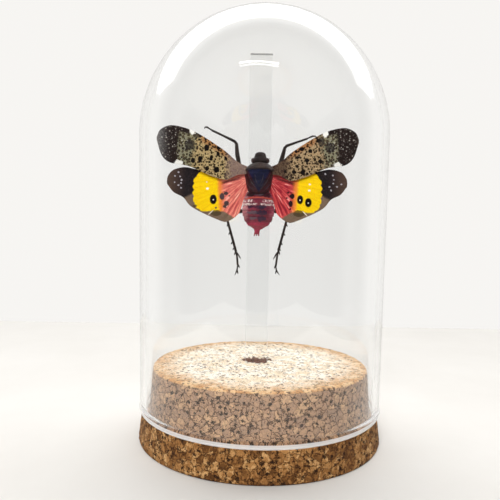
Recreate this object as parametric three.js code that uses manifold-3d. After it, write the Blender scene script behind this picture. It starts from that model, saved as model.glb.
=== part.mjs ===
// A spread lanternfly on a clear strip, standing in a cork stopper under a glass dome.
// Millimetres, +Z up. The origin is the centre of the cork's underside, and -Y is the front.
import * as THREE from "three";
import { LoftGeometry } from "three/addons/geometries/LoftGeometry.js";
import { mergeVertices } from "three/addons/utils/BufferGeometryUtils.js";
import Module from "manifold-3d";

// Driving dimensions of the glass dome
const DOME_RADIUS = 36;
const DOME_TOP_Z = 123.9;
const GLASS_WALL = 1.8;
const RIM_LAND = 0.5;
const ROUND_SEGMENTS = 48;
const DOME_ARC_SEGMENTS = 12;

// Driving dimensions of the cork stopper
const FOOT_RADIUS = 36.4;
const FOOT_EDGE = 0.6;
const LEDGE_RADIUS = 35.4;
const LEDGE_Z = 8.6;
const PLUG_FOOT_RADIUS = 33.4;
const PLUG_TOP_RADIUS = 32.3;
const PLUG_TOP_Z = 22.1;
const PLUG_EDGE = 0.7;
const CHIPPED_WIDTH = 8.6;
const CHIPPED_LENGTH = 6.6;
const CHIPPED_DEPTH = 1.6;

// Driving dimensions of the clear strip
const STRIP_WIDTH = 6.8;
const STRIP_THICKNESS = 2.4;
const STRIP_X = -1.1;
const STRIP_FRONT_Y = 1.4;
const STRIP_FOOT_Z = 12;
const STRIP_TOP_Z = 114;
const STRIP_CHAMFER = 0.25;

// Driving dimensions of the insect, whose own origin is between its wing roots
const INSECT_X = -1.3;
const INSECT_Z = 79;
const BODY_SIDES = 20;
const LEG_SIDES = 6;
const WING_STATIONS = 20;
const WING_SECTION_POINTS = 12;
const WING_THICKNESS = 0.34;
const FOREWING_Y = -3.4;
const FOREWING_CAMBER = 0.55;
const HINDWING_Y = -2.5;
const HINDWING_CAMBER = 0.3;
const LEFT_WING_STRETCH = 1.02;
const RIGHT_WING_STRETCH = 0.98;
const GLUE_RADIUS = 1.7;

// The gap that separate pieces keep where they touch
const GAP = 0.3;

const wasm = await Module();
wasm.setup();

// Solids, joins and cuts
function solidOf(geometry) {
  const bare = new THREE.BufferGeometry();
  bare.setAttribute("position", geometry.getAttribute("position"));
  bare.setIndex(geometry.getIndex());
  const welded = mergeVertices(bare, 1e-4);
  const vertProperties = welded.attributes.position.array;
  const triVerts = new Uint32Array(welded.index.array);
  return new wasm.Manifold(new wasm.Mesh({ numProp: 3, vertProperties, triVerts }));
}

function geometryOf(solid) {
  const { vertProperties, triVerts } = solid.getMesh();
  const geometry = new THREE.BufferGeometry();
  geometry.setAttribute("position", new THREE.BufferAttribute(vertProperties, 3));
  geometry.setIndex(new THREE.BufferAttribute(triVerts, 1));
  geometry.computeVertexNormals();
  return geometry;
}

function joined(geometries) {
  const [first, ...others] = geometries.map(solidOf);
  return others.reduce((whole, next) => whole.add(next), first);
}

function cutBy(solid, cutters) {
  return cutters.reduce((rest, cutter) => rest.subtract(cutter), solid);
}

function mesh(name, geometry, color, roughness, extra = {}) {
  const material = new THREE.MeshStandardMaterial({ color, roughness, metalness: 0, ...extra });
  const piece = new THREE.Mesh(geometry, material);
  piece.name = name;
  return piece;
}

// Points on an arc of a lathe profile, from one angle to another
function arc(centreR, centreZ, radius, fromDegrees, toDegrees, segments) {
  return Array.from({ length: segments + 1 }, (_, i) => {
    const angle = THREE.MathUtils.degToRad(THREE.MathUtils.lerp(fromDegrees, toDegrees, i / segments));
    return new THREE.Vector2(centreR + radius * Math.cos(angle), centreZ + radius * Math.sin(angle));
  });
}

function lathe(profile) {
  return new THREE.LatheGeometry(profile, ROUND_SEGMENTS).rotateX(Math.PI / 2);
}

// The cork stopper: a flared disc and a tapered plug turned from one block, with a chipped slot on top
function corkBase() {
  const profile = [
    new THREE.Vector2(0, 0),
    new THREE.Vector2(FOOT_RADIUS - FOOT_EDGE, 0),
    new THREE.Vector2(FOOT_RADIUS, FOOT_EDGE),
    new THREE.Vector2(LEDGE_RADIUS, LEDGE_Z - FOOT_EDGE / 2),
    new THREE.Vector2(LEDGE_RADIUS - FOOT_EDGE / 2, LEDGE_Z),
    new THREE.Vector2(PLUG_FOOT_RADIUS, LEDGE_Z),
    ...arc(PLUG_TOP_RADIUS - PLUG_EDGE, PLUG_TOP_Z - PLUG_EDGE, PLUG_EDGE, 0, 90, 3),
    new THREE.Vector2(0, PLUG_TOP_Z),
  ];
  const slotDepth = PLUG_TOP_Z - STRIP_FOOT_Z + 1;
  const slotY = STRIP_FRONT_Y + STRIP_THICKNESS / 2;
  const slot = new THREE.BoxGeometry(STRIP_WIDTH + 2 * GAP, STRIP_THICKNESS + 2 * GAP, slotDepth);
  slot.translate(STRIP_X, slotY, STRIP_FOOT_Z + slotDepth / 2);
  const chipped = new THREE.Shape();
  const chips = 14;
  for (let i = 0; i < chips; i += 1) {
    const angle = (2 * Math.PI * i) / chips;
    const ragged = 1 + 0.07 * Math.sin(5 * angle + 1) + 0.05 * Math.cos(3 * angle);
    const x = (CHIPPED_WIDTH / 2) * ragged * Math.cos(angle);
    const y = (CHIPPED_LENGTH / 2) * ragged * Math.sin(angle);
    if (i === 0) chipped.moveTo(x, y);
    else chipped.lineTo(x, y);
  }
  chipped.closePath();
  const recess = new THREE.ExtrudeGeometry(chipped, { depth: CHIPPED_DEPTH + 1, bevelEnabled: false });
  recess.translate(STRIP_X, slotY, PLUG_TOP_Z - CHIPPED_DEPTH);
  return geometryOf(cutBy(solidOf(lathe(profile)), [solidOf(slot), solidOf(recess)]));
}

// The dome: a blown cylinder closed by a half ball, open below, with a fire-rounded rim
function glassDome() {
  const centreZ = DOME_TOP_Z - DOME_RADIUS;
  const inner = DOME_RADIUS - GLASS_WALL;
  const rimRound = (GLASS_WALL - RIM_LAND) / 2;
  const profile = [
    ...arc(0, centreZ, inner, 90, 0, DOME_ARC_SEGMENTS),
    ...arc(inner + rimRound, LEDGE_Z + rimRound, rimRound, 180, 270, 2),
    ...arc(DOME_RADIUS - rimRound, LEDGE_Z + rimRound, rimRound, 270, 360, 2),
    ...arc(0, centreZ, DOME_RADIUS, 0, 90, DOME_ARC_SEGMENTS),
  ];
  profile[0].x = 0;
  profile[profile.length - 1].x = 0;
  return lathe(profile);
}

// The clear strip that carries the insect, its edges just broken
function clearStrip() {
  const halfWidth = STRIP_WIDTH / 2 - STRIP_CHAMFER;
  const halfThick = STRIP_THICKNESS / 2 - STRIP_CHAMFER;
  const section = new THREE.Shape();
  section.moveTo(-halfWidth, -halfThick - STRIP_CHAMFER);
  section.lineTo(halfWidth, -halfThick - STRIP_CHAMFER);
  section.lineTo(halfWidth + STRIP_CHAMFER, -halfThick);
  section.lineTo(halfWidth + STRIP_CHAMFER, halfThick);
  section.lineTo(halfWidth, halfThick + STRIP_CHAMFER);
  section.lineTo(-halfWidth, halfThick + STRIP_CHAMFER);
  section.lineTo(-halfWidth - STRIP_CHAMFER, halfThick);
  section.lineTo(-halfWidth - STRIP_CHAMFER, -halfThick);
  section.closePath();
  const depth = STRIP_TOP_Z - STRIP_FOOT_Z;
  const strip = new THREE.ExtrudeGeometry(section, { depth, bevelEnabled: false });
  return strip.translate(STRIP_X, STRIP_FRONT_Y + STRIP_THICKNESS / 2, STRIP_FOOT_Z);
}

// A body part lofted upwards through level ellipses, each given as
// [z, half width, y centre, half depth, x centre]
function bodyLoft(stations, grow = 0) {
  const last = stations.length - 1;
  const rings = stations.map(([z, halfWidth, y, halfDepth, x = 0], i) => {
    const endShift = i === 0 ? -grow : i === last ? grow : 0;
    return Array.from({ length: BODY_SIDES }, (_, k) => {
      const angle = (2 * Math.PI * k) / BODY_SIDES;
      const out = x + (halfWidth + grow) * Math.cos(angle);
      return new THREE.Vector3(out, y + (halfDepth + grow) * Math.sin(angle), z + endShift);
    });
  });
  return new LoftGeometry(rings, { capStart: true, capEnd: true });
}

// The hind part of the thorax, and the V-shaped shield raised on its back
const THORAX = [
  [-7.0, 2.7, -2.3, 2.2],
  [-5.6, 3.3, -2.3, 2.7],
  [-3.6, 3.8, -2.3, 3.0],
  [-1.6, 4.2, -2.3, 3.0],
  [-0.3, 4.1, -2.3, 2.9],
  [0.3, 3.8, -2.3, 2.6],
];
const SHIELD = [
  [-6.3, 0.35, -4.3, 0.5],
  [-4.6, 1.4, -4.6, 0.9],
  [-2.8, 2.5, -4.7, 1.05],
  [-1.2, 3.3, -4.6, 1.1],
  [-0.2, 3.5, -4.4, 1.0],
];

// The collar behind the head, wider than the head and thin at its sides
const PRONOTUM = [
  [0.4, 4.2, -2.6, 2.4],
  [0.9, 4.45, -2.7, 2.5],
  [1.6, 3.7, -2.8, 2.35],
  [2.2, 2.8, -2.8, 2.0],
];

// The head: a blunt front between two round eyes, with a bead-like feeler below each eye
const HEAD = [
  [2.3, 2.2, -2.7, 1.7],
  [3.0, 2.2, -2.7, 1.8],
  [3.7, 1.75, -2.6, 1.75],
  [4.6, 1.6, -2.5, 1.5],
  [5.2, 1.2, -2.4, 1.1],
  [5.5, 0.6, -2.4, 0.6],
];
const EYE_RADIUS = 0.85;
const EYE = { x: 1.95, y: -2.8, z: 2.95 };
const FEELER_RADIUS = 0.42;
const FEELER = { x: 1.65, y: -1.45, z: 3.05 };

function head() {
  const beads = [-1, 1].flatMap((side) => [
    new THREE.SphereGeometry(EYE_RADIUS, 10, 8).translate(side * EYE.x, EYE.y, EYE.z),
    new THREE.SphereGeometry(FEELER_RADIUS, 7, 5).translate(side * FEELER.x, FEELER.y, FEELER.z),
  ]);
  return joined([bodyLoft(HEAD), ...beads]);
}

// The abdomen: overlapping rings that narrow to a short forked tail
const ABDOMEN_CURVE = new THREE.CatmullRomCurve3([
  new THREE.Vector3(0.9, -2.3, -17.1),
  new THREE.Vector3(2.0, -2.3, -16.6),
  new THREE.Vector3(3.3, -2.3, -15.5),
  new THREE.Vector3(4.1, -2.3, -14.2),
  new THREE.Vector3(4.75, -2.3, -11.9),
  new THREE.Vector3(4.6, -2.3, -9.6),
  new THREE.Vector3(4.1, -2.3, -7.4),
]);
const ABDOMEN_RINGS = 8;
const ABDOMEN_FLATNESS = 0.53;
const RING_STEP = 0.22;
const TAIL = [
  [-18.3, 0.5, -2.2, 0.45, -0.35],
  [-17.6, 0.75, -2.2, 0.6, -0.3],
  [-16.2, 0.9, -2.2, 0.6, -0.2],
];
const TAIL_PRONG = { radius: 0.22, length: 0.7, spread: 0.3, x: -0.35, y: -2.2, z: -18.4 };

function abdomenStations() {
  return Array.from({ length: ABDOMEN_RINGS }, (_, i) => {
    const rear = ABDOMEN_CURVE.getPointAt(i / ABDOMEN_RINGS);
    const front = ABDOMEN_CURVE.getPointAt((i + 0.88) / ABDOMEN_RINGS);
    const deep = (halfWidth) => halfWidth * ABDOMEN_FLATNESS;
    return [
      [rear.z, rear.x + RING_STEP / 2, rear.y, deep(rear.x + RING_STEP / 2)],
      [front.z, front.x - RING_STEP / 2, front.y, deep(front.x - RING_STEP / 2)],
    ];
  }).flat();
}

function abdomen() {
  const prongs = [-1, 1].map((side) => {
    const prong = new THREE.ConeGeometry(TAIL_PRONG.radius, TAIL_PRONG.length, 6).rotateX(-Math.PI / 2);
    return prong.translate(TAIL_PRONG.x + side * TAIL_PRONG.spread, TAIL_PRONG.y, TAIL_PRONG.z);
  });
  return joined([bodyLoft(abdomenStations()), bodyLoft(TAIL), ...prongs]);
}

// A wing's edges from root to tip, as [outwards, up] from the insect's origin
const FOREWING = {
  leading: [[2.6, 0.9], [6.2, 2.4], [9.5, 5.2], [14, 8.2], [18, 10.5], [21.2, 11.75],
    [25.2, 12.4], [28.2, 11.2], [29.35, 9.1]],
  trailing: [[2.6, -1.0], [5.9, -1.3], [9.3, -2.7], [13.2, -1.9], [19.3, 0.7], [22.4, 1.4],
    [25.7, 2.0], [27.9, 4], [29.35, 8.2]],
  y: FOREWING_Y,
  camber: FOREWING_CAMBER,
};
const HINDWING = {
  leading: [[2.6, -2.0], [9, -1.1], [14, -0.5], [18, 0.2], [21.2, 0.75], [24.5, 0], [26.1, -1.7], [26.5, -3.3]],
  trailing: [[2.6, -3.4], [4.8, -8.2], [5.6, -11.8], [7.2, -13.8], [8.9, -14.7], [10.6, -14.65],
    [16.2, -12.3], [19.7, -10.3], [21.7, -7.95], [24.6, -6.4], [26.4, -4.1]],
  y: HINDWING_Y,
  camber: HINDWING_CAMBER,
};

function wing({ leading, trailing, y, camber }, side, stretch) {
  const place = ([out, up]) => new THREE.Vector3(side * stretch * out, y, up);
  const front = new THREE.CatmullRomCurve3(leading.map(place));
  const rear = new THREE.CatmullRomCurve3(trailing.map(place));
  const sections = Array.from({ length: WING_STATIONS + 1 }, (_, i) => {
    const span = i / WING_STATIONS;
    const from = front.getPointAt(span);
    const to = rear.getPointAt(span);
    const ring = Array.from({ length: WING_SECTION_POINTS }, (_, k) => {
      const angle = (2 * Math.PI * k) / WING_SECTION_POINTS;
      const across = (1 - Math.cos(angle)) / 2;
      const point = from.clone().lerp(to, across);
      point.y -= camber * Math.sin(Math.PI * span) * Math.sin(Math.PI * across);
      point.y -= (WING_THICKNESS / 2) * Math.sin(angle);
      return point;
    });
    return side > 0 ? ring : ring.reverse();
  });
  return solidOf(new LoftGeometry(sections, { capStart: true, capEnd: true }));
}

// A tapered limb through points given as [x, y, z, radius]
function limb(points) {
  const places = points.map(([x, y, z]) => new THREE.Vector3(x, y, z));
  const rings = places.map((place, i) => {
    const before = places[Math.max(i - 1, 0)];
    const after = places[Math.min(i + 1, places.length - 1)];
    const along = after.clone().sub(before).normalize();
    const sideways = new THREE.Vector3(0, 1, 0).cross(along).normalize();
    const across = along.clone().cross(sideways);
    return Array.from({ length: LEG_SIDES }, (_, k) => {
      const angle = (2 * Math.PI * k) / LEG_SIDES;
      const radius = points[i][3];
      const point = place.clone().addScaledVector(sideways, radius * Math.cos(angle));
      return point.addScaledVector(across, radius * Math.sin(angle));
    });
  });
  return new LoftGeometry(rings, { capStart: true, capEnd: true });
}

// A spine on a limb, from its root to its point
function spine([fromX, fromZ], [toX, toZ], y, radius) {
  return limb([[fromX, y, fromZ, radius], [toX, y, toZ, radius * 0.25]]);
}

// Legs: the front pair reach past the forewings, the middle pair fold behind the hindwings,
// and the hind pair hang below with spiny shins
const LEFT_FORELEG = [
  [-2.2, 0.1, 0.2, 0.75], [-4.6, -0.1, 0.6, 0.6], [-5.8, -0.4, 1.8, 0.52], [-6.5, -0.6, 5, 0.55],
  [-6.75, -0.6, 8.0, 0.42], [-7.3, -0.6, 8.7, 0.34], [-10.5, -0.6, 10.2, 0.27], [-14.0, -0.6, 11.75, 0.25],
  [-15.5, -0.6, 12.65, 0.22], [-16.1, -0.6, 12.65, 0.16], [-16.3, -0.6, 12.1, 0.08],
];
const RIGHT_FORELEG = [
  [2.2, 0.1, 0.2, 0.75], [4.6, -0.1, 0.6, 0.6], [5.8, -0.4, 1.4, 0.52], [6.8, -0.6, 4.2, 0.55],
  [7.5, -0.6, 7.1, 0.42], [8.1, -0.6, 7.7, 0.34], [11, -0.6, 8.75, 0.27], [14.0, -0.6, 9.8, 0.25],
  [15.6, -0.6, 10.55, 0.22], [16.4, -0.6, 10.6, 0.16], [17.0, -0.6, 10.2, 0.08],
];
const MIDLEG = [
  [2.1, 0.3, -3.4, 0.75], [4.4, 0.2, -3.2, 0.6], [5.6, 0.0, -2.9, 0.52], [9.6, -0.4, -1.9, 0.5],
  [11.2, -0.5, -1.9, 0.36], [11.8, -0.5, -2.6, 0.3], [13.0, -0.4, -6.0, 0.26], [13.6, -0.2, -9.0, 0.24],
  [13.4, 0, -10.8, 0.2], [13.0, 0.1, -11.6, 0.1],
];
const LEFT_HINDLEG = [
  [-1.5, 0.5, -6.6, 0.75], [-2.6, 0.7, -9.4, 0.6], [-3.6, 0.6, -11.0, 0.52], [-5.4, 0.2, -11.6, 0.5],
  [-8.9, -0.4, -11.7, 0.42], [-9.75, -0.5, -12.2, 0.36], [-9.0, -0.6, -14.8, 0.3], [-6.5, -0.6, -23.4, 0.3],
  [-6.1, -0.6, -25.2, 0.26], [-5.9, -0.6, -27.5, 0.24], [-6.1, -0.6, -29.2, 0.2], [-6.8, -0.6, -30.8, 0.09],
];
const LEFT_HIND_SPINES = [
  [[-8.8, -15.2], [-9.3, -16.2]], [[-8.15, -17.6], [-8.8, -18.6]], [[-7.4, -20.5], [-8.05, -21.4]],
  [[-6.9, -22.2], [-7.45, -23.1]], [[-6.4, -23.6], [-4.8, -26.0]], [[-5.9, -27.2], [-5.2, -28.6]],
];
const RIGHT_HINDLEG = [
  [1.5, 0.5, -6.6, 0.75], [2.6, 0.7, -9.4, 0.6], [3.6, 0.6, -11.0, 0.52], [5.4, 0.2, -11.4, 0.5],
  [8.4, -0.4, -11.4, 0.42], [9.15, -0.5, -11.9, 0.36], [8.4, -0.6, -14.5, 0.3], [6.3, -0.6, -22.9, 0.3],
  [5.9, -0.6, -25.0, 0.26], [5.6, -0.6, -27.6, 0.24], [5.8, -0.6, -29.0, 0.2], [6.9, -0.6, -30.6, 0.09],
];
const RIGHT_HIND_SPINES = [
  [[8.3, -14.9], [8.85, -15.9]], [[7.6, -17.7], [8.2, -18.6]], [[6.9, -20.5], [7.45, -21.4]],
  [[6.45, -22.2], [6.95, -23.2]], [[6.2, -23.4], [4.6, -26.0]], [[5.6, -27.3], [5.05, -28.6]],
];
const SPINE_RADIUS = 0.16;
const SPINE_Y = -0.6;

function leg(points, spines = []) {
  const thorns = spines.map(([from, to]) => spine(from, to, SPINE_Y, SPINE_RADIUS));
  return joined([limb(points), ...thorns]);
}

const mirrored = (points) => points.map(([x, ...rest]) => [-x, ...rest]);

// The dab of clear glue between the insect's breast and the strip
function glueDab() {
  const breastY = 0.3;
  const depth = STRIP_FRONT_Y - breastY;
  const profile = [
    new THREE.Vector2(0, breastY),
    new THREE.Vector2(GLUE_RADIUS - depth / 2, breastY),
    new THREE.Vector2(GLUE_RADIUS, STRIP_FRONT_Y - depth / 3),
    new THREE.Vector2(GLUE_RADIUS, STRIP_FRONT_Y),
    new THREE.Vector2(0, STRIP_FRONT_Y),
  ];
  const glueZ = -1.3;
  return solidOf(new THREE.LatheGeometry(profile, 20)).translate([STRIP_X - INSECT_X, 0, glueZ]);
}

// Colours of the insect's pieces
const BLACK_BROWN = 0x1d1512;
const LEG_BLACK = 0x17110f;

function insect() {
  const group = new THREE.Group();
  group.position.set(INSECT_X, 0, INSECT_Z);
  const thoraxRoom = solidOf(bodyLoft(THORAX, GAP)).add(solidOf(bodyLoft(SHIELD, GAP)));
  const pronotumRoom = solidOf(bodyLoft(PRONOTUM, GAP));
  const abdomenRoom = solidOf(bodyLoft(abdomenStations(), GAP));
  const pronotum = cutBy(solidOf(bodyLoft(PRONOTUM)), [thoraxRoom]);
  const bodyRoom = [thoraxRoom, pronotumRoom, abdomenRoom];
  const add = (name, solid, color, roughness) => group.add(mesh(name, geometryOf(solid), color, roughness));
  add("thorax", joined([bodyLoft(THORAX), bodyLoft(SHIELD)]), 0x14161f, 0.35);
  add("pronotum", pronotum, BLACK_BROWN, 0.5);
  add("head", cutBy(head(), [pronotumRoom, thoraxRoom]), BLACK_BROWN, 0.5);
  add("abdomen", cutBy(abdomen(), [thoraxRoom]), 0x5a1a22, 0.45);
  for (const [name, side, stretch] of [["left", -1, LEFT_WING_STRETCH], ["right", 1, RIGHT_WING_STRETCH]]) {
    add(`forewing_${name}`, cutBy(wing(FOREWING, side, stretch), bodyRoom), 0xa58a5a, 0.6);
    add(`hindwing_${name}`, cutBy(wing(HINDWING, side, stretch), bodyRoom), 0xe0a52a, 0.6);
  }
  const legs = {
    foreleg_left: leg(LEFT_FORELEG),
    foreleg_right: leg(RIGHT_FORELEG),
    midleg_left: leg(mirrored(MIDLEG)),
    midleg_right: leg(MIDLEG),
    hindleg_left: leg(LEFT_HINDLEG, LEFT_HIND_SPINES),
    hindleg_right: leg(RIGHT_HINDLEG, RIGHT_HIND_SPINES),
  };
  for (const [name, solid] of Object.entries(legs)) add(name, cutBy(solid, bodyRoom), LEG_BLACK, 0.4);
  add("glue_dab", cutBy(glueDab(), bodyRoom), 0xf4f1ea, 0.1);
  return group;
}

const model = new THREE.Group();
model.add(mesh("cork_base", corkBase(), 0xa8743f, 0.85));
model.add(mesh("glass_dome", glassDome(), 0xf2f5f5, 0.03, { transparent: true, opacity: 0.2 }));
model.add(mesh("clear_strip", clearStrip(), 0xf4f6f6, 0.05, { transparent: true, opacity: 0.25 }));
model.add(insect());

export default model;
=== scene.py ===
import math
import random

import bmesh
import bpy
from mathutils import Matrix, Vector, noise


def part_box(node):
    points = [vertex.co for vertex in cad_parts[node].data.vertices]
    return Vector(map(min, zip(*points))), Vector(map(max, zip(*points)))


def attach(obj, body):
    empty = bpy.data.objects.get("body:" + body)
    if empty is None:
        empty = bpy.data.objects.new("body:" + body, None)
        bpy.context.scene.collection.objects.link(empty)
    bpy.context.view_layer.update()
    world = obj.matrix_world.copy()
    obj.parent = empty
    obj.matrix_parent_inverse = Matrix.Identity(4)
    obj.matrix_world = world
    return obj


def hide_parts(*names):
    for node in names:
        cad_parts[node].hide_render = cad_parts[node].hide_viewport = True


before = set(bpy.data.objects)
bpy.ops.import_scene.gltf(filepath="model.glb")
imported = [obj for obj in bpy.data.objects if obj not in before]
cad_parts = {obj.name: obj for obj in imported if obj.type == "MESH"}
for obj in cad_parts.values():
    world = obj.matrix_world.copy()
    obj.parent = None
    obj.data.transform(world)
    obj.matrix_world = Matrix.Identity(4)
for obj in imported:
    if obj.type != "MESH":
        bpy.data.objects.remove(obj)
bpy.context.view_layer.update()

# The cork stopper: agglomerated cork, pressed from granules and turned as one piece. Its flared disc
# carries the dome on a ledge, its tapered plug centres the dome, and the slot dug in its top holds
# the strip. The sanded top is paler than the turned sides, partly in its own colour and partly as
# painted light from the lamp above.
MM = 0.001
_, cork_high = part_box("cork_base")
dome_low, dome_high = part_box("glass_dome")
strip_low, strip_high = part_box("clear_strip")
strip_centre = (strip_low + strip_high) / 2
FOOT_RADIUS = cork_high.x
PLUG_TOP = cork_high.z
LEDGE = dome_low.z
CORK_PROFILE = [
    (0, 0),
    (FOOT_RADIUS - 0.7 * MM, 0),
    (FOOT_RADIUS - 0.2 * MM, 0.2 * MM),
    (FOOT_RADIUS, 0.7 * MM),
    (FOOT_RADIUS - 1.0 * MM, LEDGE - 0.3 * MM),
    (FOOT_RADIUS - 1.3 * MM, LEDGE),
    (FOOT_RADIUS - 3.0 * MM, LEDGE),
    (FOOT_RADIUS - 4.1 * MM, PLUG_TOP - 0.8 * MM),
    (FOOT_RADIUS - 4.3 * MM, PLUG_TOP - 0.2 * MM),
    (FOOT_RADIUS - 4.9 * MM, PLUG_TOP),
    (0, PLUG_TOP),
]
CORK_ROW = 0.65 * MM
CORK_STEPS = 300
GRANULE = 2.2 * MM
SEAM_DEPTH = 0.16 * MM
PIT_DEPTH = 0.5 * MM
CHIPPED_HALF = Vector((4.8 * MM, 4.9 * MM))
CHIPPED_DEPTH = 2.0 * MM
SLOT_ROOM = 0.35 * MM


def tone(red, green, blue):
    """A colour as the eye sees it, 0 to 255 a channel, in linear light."""
    shares = [channel / 255 for channel in (red, green, blue)]
    return (*[s / 12.92 if s < 0.04 else ((s + 0.055) / 1.055) ** 2.4 for s in shares], 1.0)


def node(tree, kind, *values, **settings):
    """A shader node with its inputs in order: a socket is linked, a value is set, None is left."""
    made = tree.nodes.new("ShaderNode" + kind)
    for name, setting in settings.items():
        setattr(made, name, setting)
    for socket, value in zip(made.inputs, values):
        if isinstance(value, bpy.types.NodeSocket):
            tree.links.new(value, socket)
        elif value is not None:
            socket.default_value = value
    return made


def sums(tree, operation, first, second=0.0, third=0.0):
    return node(tree, "Math", first, second, third, operation=operation).outputs[0]


def mix(tree, share, under, over):
    spare = [None] * 5
    return node(tree, "Mix", share, *spare, under, over, data_type="RGBA").outputs[2]


def stain(tree, mask, strength, under, over):
    """A colour laid over another where a mask is, at a given strength."""
    return mix(tree, sums(tree, "MULTIPLY", mask, strength), under, over)


def rise(tree, value, low, high):
    """0 below low, 1 above high, smooth between; low may be the greater of the two."""
    return node(tree, "MapRange", value, low, high, 0.0, 1.0, interpolation_type="SMOOTHSTEP").outputs[0]


def cloud(tree, place, scale, detail=3.0, rough=0.55, output="Fac"):
    return node(tree, "TexNoise", place, None, scale, detail, rough).outputs[output]


def roughened(tree, point, scale, far):
    """A place that strays a little, so that edges drawn with it are ragged."""
    stray = cloud(tree, point, scale, output="Color")
    stray = node(tree, "VectorMath", stray, (0.5, 0.5, 0.5), operation="SUBTRACT").outputs[0]
    return node(tree, "VectorMath", stray, (far, far, far), point, operation="MULTIPLY_ADD").outputs[0]


def millimetres(tree):
    """The surface's own place, in millimetres."""
    place = node(tree, "TexCoord").outputs["Object"]
    return node(tree, "Mapping", place, None, None, (1 / MM,) * 3).outputs[0]


def split(tree, point):
    return node(tree, "SeparateXYZ", point).outputs


def principled(name):
    """A new material, its node tree and its shader."""
    material = bpy.data.materials.new(name)
    material.use_nodes = True
    return material, material.node_tree, material.node_tree.nodes["Principled BSDF"]


def feed(tree, shader, **sources):
    for name, source in sources.items():
        tree.links.new(source, shader.inputs[name.replace("_", " ")])


def bump(tree, height, strength, depth):
    return node(tree, "Bump", strength, depth, None, height).outputs[0]


def finish_piece(name, mesh_maker, materials, slot, *nodes, smooth=True):
    """A bmesh becomes a piece that rides on the object and stands for its CAD nodes."""
    mesh = bpy.data.meshes.new(name)
    mesh_maker.to_mesh(mesh)
    mesh_maker.free()
    mesh.polygons.foreach_set("use_smooth", [smooth] * len(mesh.polygons))
    for material in materials:
        mesh.materials.append(material)
    piece = bpy.data.objects.new(name, mesh)
    bpy.context.scene.collection.objects.link(piece)
    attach(piece, "root")
    if nodes:
        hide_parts(*nodes)
    return piece


def cork_relief(place):
    """How far the turned surface sinks at a place: seams between granules, and a few lost granules."""
    near, centres = noise.voronoi(place / GRANULE)
    seam = max(0.0, 1 - (near[1] - near[0]) / 0.22)
    lost = noise.cell(centres[0] * 7.3) > 0.82
    pit = max(0.0, 1 - near[0] / 0.45) if lost else 0.0
    return SEAM_DEPTH * seam + PIT_DEPTH * pit


def cork_sink(place):
    """How far the plug's top is dug out round the strip."""
    x, y = place.x - strip_centre.x, place.y - strip_centre.y
    ragged = 0.5 * noise.noise(place / (1.4 * MM)) + 0.4 * noise.noise(place / (0.7 * MM))
    reach = math.hypot(x / CHIPPED_HALF.x, y / CHIPPED_HALF.y) + ragged
    half = (strip_high - strip_low) / 2
    in_slot = abs(x) < half.x + SLOT_ROOM and abs(y) < half.y + SLOT_ROOM
    if in_slot:
        return PLUG_TOP - strip_low.z
    return CHIPPED_DEPTH * min(1.0, max(0.0, (1 - reach) * 5))


cork = bmesh.new()
turned = []
for (radius, height), (next_radius, next_height) in zip(CORK_PROFILE, CORK_PROFILE[1:]):
    rows = max(1, round(math.hypot(next_radius - radius, next_height - height) / CORK_ROW))
    for row in range(rows):
        share = row / rows
        turned.append((radius + (next_radius - radius) * share, height + (next_height - height) * share))
turned.append(CORK_PROFILE[-1])
corners = [cork.verts.new((radius, 0, height)) for radius, height in turned]
for start, end in zip(corners, corners[1:]):
    cork.edges.new((start, end))
bmesh.ops.spin(cork, geom=cork.verts[:] + cork.edges[:], axis=(0, 0, 1), cent=(0, 0, 0),
               angle=2 * math.pi, steps=CORK_STEPS, use_merge=True)
bmesh.ops.remove_doubles(cork, verts=cork.verts, dist=0.001 * MM)
bmesh.ops.recalc_face_normals(cork, faces=cork.faces)
cork.normal_update()
for vert in cork.verts:
    if vert.co.z < 0.3 * MM:
        continue
    place = vert.co.copy()
    vert.co -= vert.normal * cork_relief(place)
    if place.z > PLUG_TOP - 0.1 * MM:
        vert.co.z -= cork_sink(place)

cork_look, tree, shader = principled("cork_granules")
even = millimetres(tree)
place = roughened(tree, even, 0.9, 1.6)
torn = roughened(tree, even, 2.4, 1.7)
big = node(tree, "TexVoronoi", place, None, 0.46)
small = node(tree, "TexVoronoi", place, None, 1.3)
seams = node(tree, "TexVoronoi", place, None, 0.46, feature="DISTANCE_TO_EDGE").outputs["Distance"]
fine_seams = node(tree, "TexVoronoi", place, None, 1.3, feature="DISTANCE_TO_EDGE").outputs["Distance"]
big_tone = node(tree, "SeparateColor", big.outputs["Color"]).outputs[0]
small_tone = node(tree, "SeparateColor", small.outputs["Color"]).outputs[1]
grain = cloud(tree, even, 3.2, 4.0, 0.65)
granule = sums(tree, "MULTIPLY_ADD", big_tone, 0.5, sums(tree, "MULTIPLY", small_tone, 0.35))
granule = sums(tree, "ADD", granule, sums(tree, "MULTIPLY", grain, 0.25))
colour = node(tree, "ValToRGB", granule)
SIDE_TONES = [(0.25, (96, 62, 32)), (0.47, (146, 100, 56)), (0.66, (174, 126, 75)),
              (0.88, (208, 164, 110))]
for stop, (position, shade) in enumerate(SIDE_TONES):
    element = colour.color_ramp.elements[stop] if stop < 2 else colour.color_ramp.elements.new(position)
    element.position = position
    element.color = tone(*shade)
across, back, height = split(tree, even)
on_plug = rise(tree, height, LEDGE / MM - 0.2, LEDGE / MM + 0.2)
side = stain(tree, on_plug, 0.5, colour.outputs["Color"], tone(216, 182, 154))
in_seam = rise(tree, sums(tree, "ADD", seams, sums(tree, "MULTIPLY", grain, 0.12)), 0.125, 0.07)
in_fine_seam = rise(tree, sums(tree, "ADD", fine_seams, sums(tree, "MULTIPLY", grain, 0.2)), 0.16, 0.1)
side = stain(tree, in_seam, 0.85, side, tone(64, 38, 20))
side = stain(tree, in_fine_seam, 0.55, side, tone(88, 54, 28))
speck = None
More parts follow.
